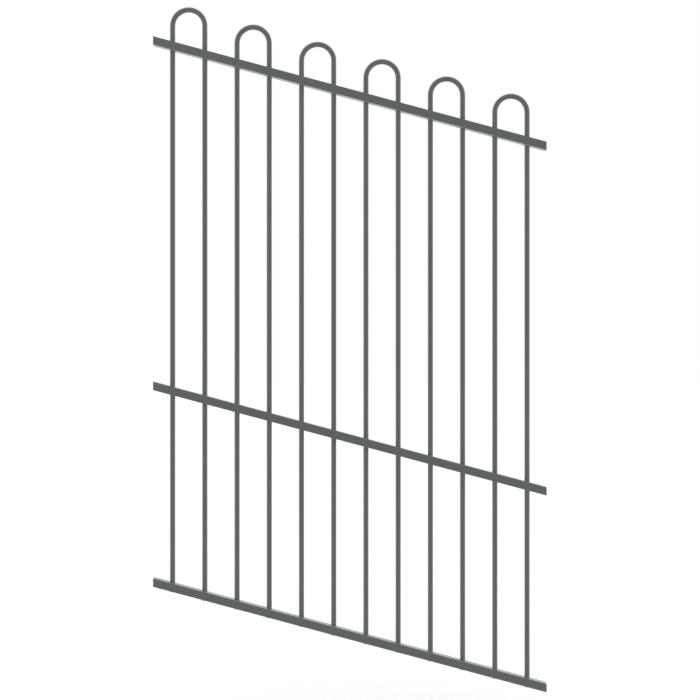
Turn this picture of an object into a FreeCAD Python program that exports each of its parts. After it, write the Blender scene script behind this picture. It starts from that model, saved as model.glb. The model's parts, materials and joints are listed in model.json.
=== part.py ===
import FreeCAD, Part
import math
import os
import Sketcher

# Raked hoop-top fence panel of aluminium tube, in millimetres.
# Three square rails fall downhill towards +X at the rake and are cut plumb at both ends.
# Each hoop is one round tube, bent over at the top, whose two upright legs are pickets.
# The legs pass down through holes in all three rails and end just below the bottom rail.
# +X runs level along the panel, downhill. +Y runs away from the front. +Z is up.
# The origin is the middle of the bottom rail's uphill end, where that end meets its post.

SIZES = (
    ("panel_length", 1200, "level distance between the plumb rail ends"),
    ("panel_height", 1800, "plumb, from the bottom rail's underside to a hoop's top, at the hoop's middle"),
    ("rake", 15, "slope of the rails, in degrees"),
    ("hoop_count", 6, "each hoop makes two pickets, and all the pickets are evenly spaced"),
    ("end_space", 57.7, "level distance from a rail's end to the middle of the nearest picket"),
    ("picket_diameter", 16, "outside diameter of the bent tube"),
    ("picket_wall", 1.2, "wall of the bent tube"),
    ("picket_foot", 1.4, "plumb, from the bottom rail's underside to a leg's square end, at the leg's middle"),
    ("hoop_rise", 120, "plumb, from the top rail's upper side to a hoop's top, at the hoop's middle"),
    ("middle_rail_rise", 600, "plumb, from the bottom rail's middle to the middle rail's"),
    ("rail_height", 25, "square to the rail's length"),
    ("rail_depth", 25, "front to back"),
    ("rail_wall", 1.6, "wall of the square tube"),
    ("rail_corner", 1.5, "outside corner radius of the square tube"),
    ("hole_clearance", 0.15, "radial gap between a leg and its hole in a rail"),
)

RAKE = "(sizes.rake * 1deg)"
RAIL_PLUMB = f"(sizes.rail_height / cos({RAKE}))"
TOP_RAIL_RISE = f"(sizes.panel_height - sizes.hoop_rise - {RAIL_PLUMB})"
PITCH = "((sizes.panel_length - 2 * sizes.end_space) / (2 * sizes.hoop_count - 1))"
BEND_RADIUS = f"({PITCH} / 2)"
LEG_FALL = f"({BEND_RADIUS} * tan({RAKE}))"
LEG_BOTTOM = f"(0 - {RAIL_PLUMB} / 2 - sizes.picket_foot)"
BEND_CENTRE = f"(sizes.panel_height - {RAIL_PLUMB} / 2 - sizes.picket_diameter / 2 - {BEND_RADIUS})"

START, END, CENTRE = 1, 2, 3
SKETCH_ORIGIN = -1
SKETCH_UPRIGHT = -2


def make_sheet(doc):
    """The driving sizes, one row each: name, value, meaning."""
    sheet = doc.addObject("Spreadsheet::Sheet", "sizes")
    for row, (name, value, meaning) in enumerate(SIZES, start=1):
        sheet.set(f"A{row}", name)
        sheet.set(f"B{row}", str(value))
        sheet.set(f"C{row}", meaning)
        sheet.setAlias(f"B{row}", name)
    doc.recompute()
    return sheet


def number(sheet, expression):
    """The present value of an expression of sizes."""
    value = sheet.evalExpression(expression)
    return float(getattr(value, "Value", value))


def origin_feature(body, role):
    """One of the body's own origin planes or axes."""
    return next(item for item in body.Origin.OriginFeatures if item.Role == role)


def new_sketch(body, name, plane):
    sketch = body.newObject("Sketcher::SketchObject", name)
    sketch.AttachmentSupport = (origin_feature(body, plane), "")
    sketch.MapMode = "FlatFace"
    return sketch


def bind(sheet, sketch, kind, places, expression):
    """A dimension of the sketch that follows the sheet."""
    value = number(sheet, expression)
    index = sketch.addConstraint(Sketcher.Constraint(kind, *places, value))
    sketch.setExpression(f"Constraints[{index}]", expression)


def add_rectangle(sheet, sketch, middle, size):
    """A rectangle given by expressions for its middle and its size."""
    across, up = (number(sheet, text) for text in middle)
    half_width, half_height = (number(sheet, text) / 2 for text in size)
    corners = [
        FreeCAD.Vector(across + side * half_width, up + level * half_height, 0)
        for side, level in ((-1, -1), (1, -1), (1, 1), (-1, 1))
    ]
    ends = zip(corners, corners[1:] + corners[:1])
    bottom, right, top, left = sketch.addGeometry([Part.LineSegment(a, b) for a, b in ends])
    for line, following in ((bottom, right), (right, top), (top, left), (left, bottom)):
        sketch.addConstraint(Sketcher.Constraint("Coincident", line, END, following, START))
    for line in (bottom, top):
        sketch.addConstraint(Sketcher.Constraint("Horizontal", line))
    for line in (right, left):
        sketch.addConstraint(Sketcher.Constraint("Vertical", line))
    low_corner = (SKETCH_ORIGIN, START, bottom, START)
    bind(sheet, sketch, "DistanceX", (bottom, START, bottom, END), size[0])
    bind(sheet, sketch, "DistanceY", (right, START, right, END), size[1])
    bind(sheet, sketch, "DistanceX", low_corner, f"{middle[0]} - {size[0]} / 2")
    bind(sheet, sketch, "DistanceY", low_corner, f"{middle[1]} - {size[1]} / 2")


def add_circle(sheet, sketch, across, radius):
    """A circle on the sketch's level axis, given by expressions."""
    centre = FreeCAD.Vector(number(sheet, across), 0, 0)
    normal = FreeCAD.Vector(0, 0, 1)
    circle = sketch.addGeometry(Part.Circle(centre, normal, number(sheet, radius)))
    bind(sheet, sketch, "Radius", (circle,), radius)
    bind(sheet, sketch, "DistanceX", (SKETCH_ORIGIN, START, circle, CENTRE), across)
    sketch.addConstraint(Sketcher.Constraint("PointOnObject", circle, CENTRE, SKETCH_ORIGIN))


def require_cut(name, before, after):
    """A cut that misses its solid shows no error, so the volumes are compared."""
    if not after.Shape.Volume < before.Shape.Volume:
        raise RuntimeError(f"{name} removes nothing")


def outer_corners(feature, half_depth):
    """The long corner edges of a padded tube, on its front and back faces."""
    length = max(edge.Length for edge in feature.Shape.Edges)
    return [
        f"Edge{index}"
        for index, edge in enumerate(feature.Shape.Edges, start=1)
        if abs(edge.Length - length) < 0.01 and abs(abs(edge.CenterOfMass.y) - half_depth) < 0.01
    ]


def make_tube(doc, sheet, body):
    """A square tube along the rake, longer at both ends than the rail."""
    section = new_sketch(body, "section", "YZ_Plane")
    turned = FreeCAD.Rotation(FreeCAD.Vector(1, 0, 0), number(sheet, "sizes.rake"))
    section.AttachmentOffset = FreeCAD.Placement(FreeCAD.Vector(), turned)
    section.setExpression("AttachmentOffset.Rotation.Angle", "sizes.rake * 1deg")
    for wall in ("0", "sizes.rail_wall"):
        size = [f"(sizes.{side} - 2 * {wall})" for side in ("rail_depth", "rail_height")]
        add_rectangle(sheet, section, ("0", "0"), size)
    tube = body.newObject("PartDesign::Pad", "tube")
    tube.Profile = section
    tube.SideType = "Two sides"
    spare = f"sizes.rail_height * tan({RAKE})"
    tube.setExpression("Length", f"sizes.panel_length / cos({RAKE}) + {spare}")
    tube.setExpression("Length2", spare)
    doc.recompute()
    corners = body.newObject("PartDesign::Fillet", "corners")
    corners.Base = (tube, outer_corners(tube, number(sheet, "sizes.rail_depth / 2")))
    corners.setExpression("Radius", "sizes.rail_corner")
    doc.recompute()
    return corners


def cut_ends_plumb(doc, sheet, body, tube):
    """Both ends are sawn plumb, at the origin and at the panel's full length."""
    sketch = new_sketch(body, "offcuts", "XZ_Plane")
    side = "(2 * sizes.rail_height)"
    fall = f"(0 - sizes.panel_length * tan({RAKE}))"
    add_rectangle(sheet, sketch, ("(0 - sizes.rail_height)", "0"), (side, side))
    add_rectangle(sheet, sketch, ("(sizes.panel_length + sizes.rail_height)", fall), (side, side))
    saw = body.newObject("PartDesign::Pocket", "plumb_ends")
    saw.Profile = sketch
    saw.Type = "ThroughAll"
    saw.SideType = "Symmetric"
    doc.recompute()
    require_cut("the plumb saw cut", tube, saw)
    return saw


def punch_holes(doc, sheet, body, rail):
    """An upright hole through both walls for each leg."""
    sketch = new_sketch(body, "hole_outline", "XY_Plane")
    add_circle(sheet, sketch, "sizes.end_space", "(sizes.picket_diameter / 2 + sizes.hole_clearance)")
    hole = body.newObject("PartDesign::Pocket", "picket_hole")
    hole.Profile = sketch
    hole.Type = "ThroughAll"
    hole.SideType = "Symmetric"
    doc.recompute()
    require_cut("the first picket hole", rail, hole)
    holes = body.newObject("PartDesign::LinearPattern", "picket_holes")
    holes.Originals = [hole]
    holes.Direction = (origin_feature(body, "X_Axis"), [""])
    holes.Mode = "Spacing"
    holes.setExpression("Offset", PITCH)
    holes.setExpression("Occurrences", "2 * sizes.hoop_count")
    body.Tip = holes
    doc.recompute()
    require_cut("the row of picket holes", hole, holes)


def make_rail(doc, sheet, name, rise):
    """A raked rail, placed by the plumb rise of its middle above the bottom rail's."""
    body = doc.addObject("PartDesign::Body", name)
    body.Label = name
    tube = make_tube(doc, sheet, body)
    rail = cut_ends_plumb(doc, sheet, body, tube)
    punch_holes(doc, sheet, body, rail)
    body.setExpression("Placement.Base.z", rise)
    return body


def draw_bend_line(sheet, sketch):
    """The bent tube's centre line: uphill leg, half circle, longer downhill leg."""
    radius = number(sheet, BEND_RADIUS)
    centre = number(sheet, BEND_CENTRE)
    fall = number(sheet, LEG_FALL)
    bottom = number(sheet, LEG_BOTTOM)
    uphill_foot = FreeCAD.Vector(-radius, bottom + fall, 0)
    uphill_top = FreeCAD.Vector(-radius, centre, 0)
    downhill_top = FreeCAD.Vector(radius, centre, 0)
    downhill_foot = FreeCAD.Vector(radius, bottom - fall, 0)
    crown = FreeCAD.Vector(0, centre + radius, 0)
    uphill, bend, downhill = sketch.addGeometry([
        Part.LineSegment(uphill_foot, uphill_top),
        Part.Arc(uphill_top, crown, downhill_top),
        Part.LineSegment(downhill_top, downhill_foot),
    ])
    sketch.addConstraint(Sketcher.Constraint("Vertical", uphill))
    sketch.addConstraint(Sketcher.Constraint("Vertical", downhill))
    sketch.addConstraint(Sketcher.Constraint("Tangent", uphill, END, bend, END))
    sketch.addConstraint(Sketcher.Constraint("Tangent", bend, START, downhill, START))
    sketch.addConstraint(Sketcher.Constraint("PointOnObject", bend, CENTRE, SKETCH_UPRIGHT))
    bind(sheet, sketch, "Radius", (bend,), BEND_RADIUS)
    bind(sheet, sketch, "DistanceY", (SKETCH_ORIGIN, START, bend, CENTRE), BEND_CENTRE)
    bind(
        sheet, sketch, "DistanceY", (SKETCH_ORIGIN, START, uphill, START), f"{LEG_BOTTOM} + {LEG_FALL}"
    )
    bind(
        sheet, sketch, "DistanceY", (SKETCH_ORIGIN, START, downhill, END), f"{LEG_BOTTOM} - {LEG_FALL}"
    )


def make_hoop(doc, sheet, place):
    """One bent tube, whose own origin is on the bottom rail's middle line, midway between its legs."""
    name = f"hoop_{place + 1}"
    body = doc.addObject("PartDesign::Body", name)
    body.Label = name
    bend_line = new_sketch(body, "bend_line", "XZ_Plane")
    draw_bend_line(sheet, bend_line)
    section = new_sketch(body, "tube_section", "XY_Plane")
    section.setExpression("AttachmentOffset.Base.z", f"{LEG_BOTTOM} + {LEG_FALL}")
    for wall in ("0", "sizes.picket_wall"):
        radius = f"(sizes.picket_diameter / 2 - {wall})"
        add_circle(sheet, section, f"(0 - {BEND_RADIUS})", radius)
    doc.recompute()
    tube = body.newObject("PartDesign::AdditivePipe", "bent_tube")
    tube.Profile = section
    tube.Spine = (bend_line, [f"Edge{index}" for index in (1, 2, 3)])
    tube.Mode = "Standard"
    body.Tip = tube
    middle = f"(sizes.end_space + {BEND_RADIUS} + {2 * place} * {PITCH})"
    body.setExpression("Placement.Base.x", middle)
    body.setExpression("Placement.Base.z", f"0 - {middle} * tan({RAKE})")
    doc.recompute()
    compare_with_pappus(sheet, tube, bend_line)
    return body


def compare_with_pappus(sheet, tube, bend_line):
    """A swept tube holds its section times the length of its centre line."""
    outer = number(sheet, "sizes.picket_diameter / 2")
    inner = outer - number(sheet, "sizes.picket_wall")
    expected = math.pi * (outer**2 - inner**2) * bend_line.Shape.Length
    if abs(tube.Shape.Volume / expected - 1) > 0.001:
        raise RuntimeError(f"the bent tube holds {tube.Shape.Volume:.0f}, not {expected:.0f} cubic mm")


def check(doc, bodies):
    for item in doc.Objects:
        if "Invalid" in item.State or "Error" in item.State:
            raise RuntimeError(f"{item.Label} failed: {item.State}")
    for body in bodies:
        shape = body.Shape
        if shape.isNull() or not shape.isValid() or len(shape.Solids) != 1:
            raise RuntimeError(f"{body.Label} isn't one valid solid")


def main():
    doc = FreeCAD.newDocument("fence_panel")
    sheet = make_sheet(doc)
    bodies = [
        make_rail(doc, sheet, "bottom_rail", "0"),
        make_rail(doc, sheet, "middle_rail", "sizes.middle_rail_rise"),
        make_rail(doc, sheet, "top_rail", TOP_RAIL_RISE),
    ]
    for place in range(int(number(sheet, "sizes.hoop_count"))):
        bodies.append(make_hoop(doc, sheet, place))
    doc.recompute()
    check(doc, bodies)
    os.makedirs("parts", exist_ok=True)
    for body in bodies:
        body.Shape.exportStep(f"parts/{body.Label}.step")
        box = body.Shape.BoundBox
        print(f"{body.Label}: {body.Shape.Volume / 1000:.2f} cm3, {box}")


main()
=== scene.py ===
"""Looks of the raked hoop-top fence panel: powder coat on its nine tubes, over a pale floor in soft light.

Lengths are in metres, in the panel's frame: +X runs level, downhill, +Y away from the front, and +Z up.
"""

import functools
import json
import math

import bpy
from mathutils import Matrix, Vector


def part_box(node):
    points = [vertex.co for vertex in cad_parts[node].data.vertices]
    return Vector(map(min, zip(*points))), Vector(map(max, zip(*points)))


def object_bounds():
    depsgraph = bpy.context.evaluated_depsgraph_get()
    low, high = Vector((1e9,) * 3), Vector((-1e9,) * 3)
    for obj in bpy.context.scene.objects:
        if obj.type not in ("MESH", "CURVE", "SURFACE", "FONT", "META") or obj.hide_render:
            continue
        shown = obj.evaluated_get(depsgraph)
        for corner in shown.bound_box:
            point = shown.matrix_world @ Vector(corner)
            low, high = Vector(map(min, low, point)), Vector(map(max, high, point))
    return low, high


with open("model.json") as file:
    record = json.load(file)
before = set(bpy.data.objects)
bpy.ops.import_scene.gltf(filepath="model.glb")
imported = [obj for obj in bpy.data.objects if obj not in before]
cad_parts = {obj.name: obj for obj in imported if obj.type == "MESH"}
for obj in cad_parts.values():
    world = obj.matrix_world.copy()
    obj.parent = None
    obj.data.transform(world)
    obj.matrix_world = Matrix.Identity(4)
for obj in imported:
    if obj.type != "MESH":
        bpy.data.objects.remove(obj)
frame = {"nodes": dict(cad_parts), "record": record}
cad_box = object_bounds()

# The camera looks level along +Y, square to the panel, from in front of its middle.
IMAGE_SIDE = 700
FOCAL_PIXELS = 1049.75
SENSOR_MM = 36
CAMERA_DISTANCE = 3.2
CAMERA_ASIDE = 0.0005
CAMERA_RISE = 0.7097
CAMERA_CLIP = (0.05, 200)

# The floor lies as far below the panel's lowest corner as a pool fence is set above the ground.
# Its lift is the little light that it gives off itself where it is looked at.
GROUND_GAP = 0.09
FLOOR_SIDE = 60.0
FLOOR_LIFT = 0.05
SKY_STRENGTH = 1
WHITE = (1, 1, 1, 1)

# The powder coat. Its sheen gives the round tubes their wide light edges.
COAT_COLOUR = (0.0478, 0.06, 0.0559, 1)
COAT_COLOUR_CHANGE = 0.02
COAT_ROUGHNESS = 0.4
COAT_ROUGHNESS_CHANGE = 0.03
COAT_IOR = 1.5
SHEEN_WEIGHT = 0.86
SHEEN_ROUGHNESS = 0.55
SHEEN_TINT = (0.96, 0.985, 1, 1)
PEEL_STRENGTH = 0.6
PEEL_HEIGHT = 0.0001

# The bare aluminium inside the tubes.
BARE_COLOUR = (0.5, 0.51, 0.52, 1)
BARE_ROUGHNESS = 0.45

# Each noise is a scale, about as many lumps to the metre, and a detail. Most of its values lie in the span.
COLOUR_NOISE = (9, 3)
GLOSS_NOISE = (60, 2)
WANDER_NOISE = (120, 2)
PEEL_NOISE = (450, 2)
NOISE_SPAN = (0.3, 0.7)

# The tubes' sizes that their boxes in the frame don't give.
RAIL_WALL = 0.0016
PICKET_DIAMETER = 0.016
PICKET_WALL = 0.0012
HOLE_CLEARANCE = 0.00015

# How far powder reaches into an open end: fully to the first depth, and not at all past the second.
# These depths wander by a little, either way.
POWDER_IN_RAIL = (0.014, 0.034)
POWDER_IN_PICKET = (0.008, 0.02)
POWDER_WANDER = 0.006

# Nobody sees further than this up a picket's bore, so bare metal isn't told from the coat there.
PICKET_BORE_SEEN = 0.134

# The rails slope alike. A place's rise is its plumb height over the bottom rail's middle line.
ends = {mount["name"]: Vector(mount["pos_m"]) for mount in frame["record"]["mounts"]}
rail_rises = [ends[f"{rail}_rail_uphill_end"].z for rail in ("bottom", "middle", "top")]
slope = -ends["bottom_rail_downhill_end"].z / ends["bottom_rail_downhill_end"].x
rail_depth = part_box("bottom_rail")[1].y * 2

# The two legs of a hoop are one pitch apart, as are all legs, and every foot has the same rise.
hoop_low, hoop_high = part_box("hoop_1")
uphill_leg = hoop_low.x + PICKET_DIAMETER / 2
downhill_leg = hoop_high.x - PICKET_DIAMETER / 2
half_pitch = (downhill_leg - uphill_leg) / 2
foot_rise = hoop_low.z + slope * downhill_leg


def add_object(name, data):
    """A new object, linked to the scene."""
    thing = bpy.data.objects.new(name, data)
    bpy.context.scene.collection.objects.link(thing)
    return thing


def around(middle, change):
    """The two ends of a range about its middle."""
    return middle - change, middle + change


def tone(colour, share):
    """A colour made darker or lighter, and as opaque as before."""
    red, green, blue, alpha = colour
    return red * share, green * share, blue * share, alpha


class MaterialNodes:
    """A new material, and the kinds of node that make it.

    A value that these calls take is another node's socket, or a plain number or colour.
    """

    def __init__(self, name):
        self.material = bpy.data.materials.new(name)
        self.material.use_nodes = True
        self.tree = self.material.node_tree
        self.shader = next(node for node in self.tree.nodes if node.type == "BSDF_PRINCIPLED")

    def feed(self, socket, value):
        """Brings a value to a socket."""
        if isinstance(value, bpy.types.NodeSocket):
            self.tree.links.new(value, socket)
        else:
            socket.default_value = value

    def fill(self, node, values):
        """Brings values to a node's sockets, by their names."""
        for name, value in values.items():
            self.feed(node.inputs[name], value)

    def add(self, kind, values=None):
        """A new node with those values."""
        node = self.tree.nodes.new(kind)
        self.fill(node, values or {})
        return node

    def calc(self, operation, *values):
        """One step of arithmetic."""
        node = self.tree.nodes.new("ShaderNodeMath")
        node.operation = operation
        for socket, value in zip(node.inputs, values):
            self.feed(socket, value)
        return node.outputs["Value"]

    def join(self, operation, *values):
        """Two or more values joined by one operation, such as the least of them by MINIMUM."""
        return functools.reduce(functools.partial(self.calc, operation), values)

    def ramp(self, value, source, target, form="LINEAR"):
        """A value brought from one range into another, and held at its ends."""
        values = {
            "Value": value,
            "From Min": source[0],
            "From Max": source[1],
            "To Min": target[0],
            "To Max": target[1],
        }
        node = self.add("ShaderNodeMapRange", values)
        node.interpolation_type = form
        return node.outputs["Result"]

    def noise(self, place, scale, detail):
        """Smooth noise, from 0 to 1."""
        node = self.add("ShaderNodeTexNoise", {"Vector": place, "Scale": scale, "Detail": detail})
        return node.outputs["Fac"]

    def vary(self, place, noise, span):
        """A value that wanders over the surface from one end of the span to the other."""
        return self.ramp(self.noise(place, *noise), NOISE_SPAN, span)

    def blend(self, factor, first, second):
        """A mix of two colours."""
        node = self.tree.nodes.new("ShaderNodeMix")
        node.data_type = "RGBA"
        sockets = {socket.identifier: socket for socket in (*node.inputs, *node.outputs)}
        self.feed(sockets["Factor_Float"], factor)
        self.feed(sockets["A_Color"], first)
        self.feed(sockets["B_Color"], second)
        return sockets["Result_Color"]


def find_rail_gap(nodes, y, rise):
    """How far a place lies from the nearest rail's middle line, across the rail's square section."""
    plumb = [nodes.calc("ABSOLUTE", nodes.calc("SUBTRACT", rise, line)) for line in rail_rises]
    across = nodes.calc("MULTIPLY", nodes.join("MINIMUM", *plumb), math.cos(math.atan(slope)))
    return nodes.calc("MAXIMUM", across, nodes.calc("ABSOLUTE", y))


def find_leg_gap(nodes, x, y):
    """How far a place lies from the nearest leg's middle line."""
    beside = nodes.calc("WRAP", nodes.calc("SUBTRACT", x, uphill_leg), half_pitch, -half_pitch)
    squares = nodes.calc("MULTIPLY_ADD", beside, beside, nodes.calc("MULTIPLY", y, y))
    return nodes.calc("SQRT", squares)


def pass_powder(nodes, depth, wander, reach):
    """0 where powder covers a bore fully, rising to 1 where none reaches."""
    return nodes.ramp(nodes.calc("ADD", depth, wander), reach, (0, 1), "SMOOTHSTEP")


def find_bare_bores(nodes, place):
    """1 on the bare metal inside the tubes, past the little powder at their open ends, and 0 elsewhere.

    A place is in a tube's bore if it lies further in than the middle of the tube's wall.
    """
    x, y, z = nodes.add("ShaderNodeSeparateXYZ", {"Vector": place}).outputs
    rise = nodes.calc("MULTIPLY_ADD", x, slope, z)
    leg_gap = find_leg_gap(nodes, x, y)
    wander = nodes.vary(place, WANDER_NOISE, around(0, POWDER_WANDER))

    in_rail = nodes.calc("LESS_THAN", find_rail_gap(nodes, y, rise), (rail_depth - RAIL_WALL) / 2)
    off_legs = nodes.calc("GREATER_THAN", leg_gap, (PICKET_DIAMETER + HOLE_CLEARANCE) / 2)
    from_end = nodes.calc("MINIMUM", x, nodes.calc("SUBTRACT", cad_box[1].x, x))
    past_powder = pass_powder(nodes, from_end, wander, POWDER_IN_RAIL)
    bare_rail = nodes.join("MULTIPLY", in_rail, off_legs, past_powder)

    in_leg = nodes.calc("LESS_THAN", leg_gap, (PICKET_DIAMETER - PICKET_WALL) / 2)
    from_foot = nodes.calc("SUBTRACT", rise, foot_rise)
    in_sight = nodes.calc("LESS_THAN", from_foot, PICKET_BORE_SEEN)
    past_powder = pass_powder(nodes, from_foot, wander, POWDER_IN_PICKET)
    bare_leg = nodes.join("MULTIPLY", in_leg, in_sight, past_powder)
    return nodes.calc("MAXIMUM", bare_rail, bare_leg)


def make_powder_coat():
    """Dark grey powder coat: fine orange peel, a slightly uneven gloss and a trace of colour change.

    Inside the tubes it gives way to bare aluminium.
    """
    nodes = MaterialNodes("powder_coat_dark_grey")
    place = nodes.add("ShaderNodeTexCoord").outputs["Object"]
    bare = find_bare_bores(nodes, place)

    darker, lighter = (tone(COAT_COLOUR, share) for share in around(1, COAT_COLOUR_CHANGE))
    coat = nodes.blend(nodes.vary(place, COLOUR_NOISE, (0, 1)), darker, lighter)
    gloss = nodes.vary(place, GLOSS_NOISE, around(COAT_ROUGHNESS, COAT_ROUGHNESS_CHANGE))
    height = nodes.noise(place, *PEEL_NOISE)
    peel = nodes.add(
        "ShaderNodeBump", {"Strength": PEEL_STRENGTH, "Distance": PEEL_HEIGHT, "Height": height}
    )
    values = {
        "Base Color": nodes.blend(bare, coat, BARE_COLOUR),
        "Metallic": bare,
        "Roughness": nodes.calc("MULTIPLY_ADD", bare, BARE_ROUGHNESS - COAT_ROUGHNESS, gloss),
        "Normal": peel.outputs["Normal"],
        "IOR": COAT_IOR,
        "Sheen Weight": SHEEN_WEIGHT,
        "Sheen Roughness": SHEEN_ROUGHNESS,
        "Sheen Tint": SHEEN_TINT,
    }
    nodes.fill(nodes.shader, values)
    return nodes.material


def make_floor_white():
    """Matt white. Where it is looked at, it gives back the light that the panel and its own edge cost it."""
    nodes = MaterialNodes("floor_white")
    path = nodes.add("ShaderNodeLightPath").outputs
    rays = (path[kind] for kind in ("Is Camera Ray", "Is Glossy Ray", "Is Transmission Ray"))
    values = {
        "Base Color": WHITE,
        "Roughness": 1,
        "Specular IOR Level": 0,
        "Emission Color": WHITE,
        "Emission Strength": nodes.calc("MULTIPLY", nodes.join("MAXIMUM", *rays), FLOOR_LIFT),
    }
    nodes.fill(nodes.shader, values)
    return nodes.material


def dress_nodes():
    """Gives every tube the one coat."""
    coat = make_powder_coat()
    for node in frame["nodes"].values():
        node.data.materials[0] = coat


def make_floor():
    """A wide floor under the panel, which isn't part of it."""
    low, high = cad_box
    side = FLOOR_SIDE / 2
    level = low.z - GROUND_GAP
    middle = (low.x + high.x) / 2
    corners = [(middle + x * side, y * side, level) for x, y in ((-1, -1), (1, -1), (1, 1), (-1, 1))]
    mesh = bpy.data.meshes.new("floor")
    mesh.from_pydata(corners, [], [(0, 1, 2, 3)])
    mesh.materials.append(make_floor_white())
    floor = add_object("floor", mesh)


def make_light():
    """Soft white light from all round."""
    world = bpy.data.worlds.new("studio")
    world.use_nodes = True
    sky = next(node for node in world.node_tree.nodes if node.type == "BACKGROUND")
    sky.inputs["Color"].default_value = WHITE
    sky.inputs["Strength"].default_value = SKY_STRENGTH
    bpy.context.scene.world = world


def make_camera():
    """The photograph's view: one vanishing point, in the middle of the picture."""
    low, high = cad_box
    data = bpy.data.cameras.new("camera")
    data.sensor_width = SENSOR_MM
    data.lens = FOCAL_PIXELS / IMAGE_SIDE * SENSOR_MM
    data.clip_start, data.clip_end = CAMERA_CLIP
    camera = add_object("camera", data)
    middle = (low.x + high.x) / 2
    camera.location = (middle + CAMERA_ASIDE, low.y - CAMERA_DISTANCE, CAMERA_RISE)
    camera.rotation_mode = "QUATERNION"
    camera.rotation_quaternion = Vector((0, 1, 0)).to_track_quat("-Z", "Y")
    bpy.context.scene.camera = camera


bpy.context.scene.view_settings.view_transform = "Standard"
dress_nodes()
make_floor()
make_light()
make_camera()
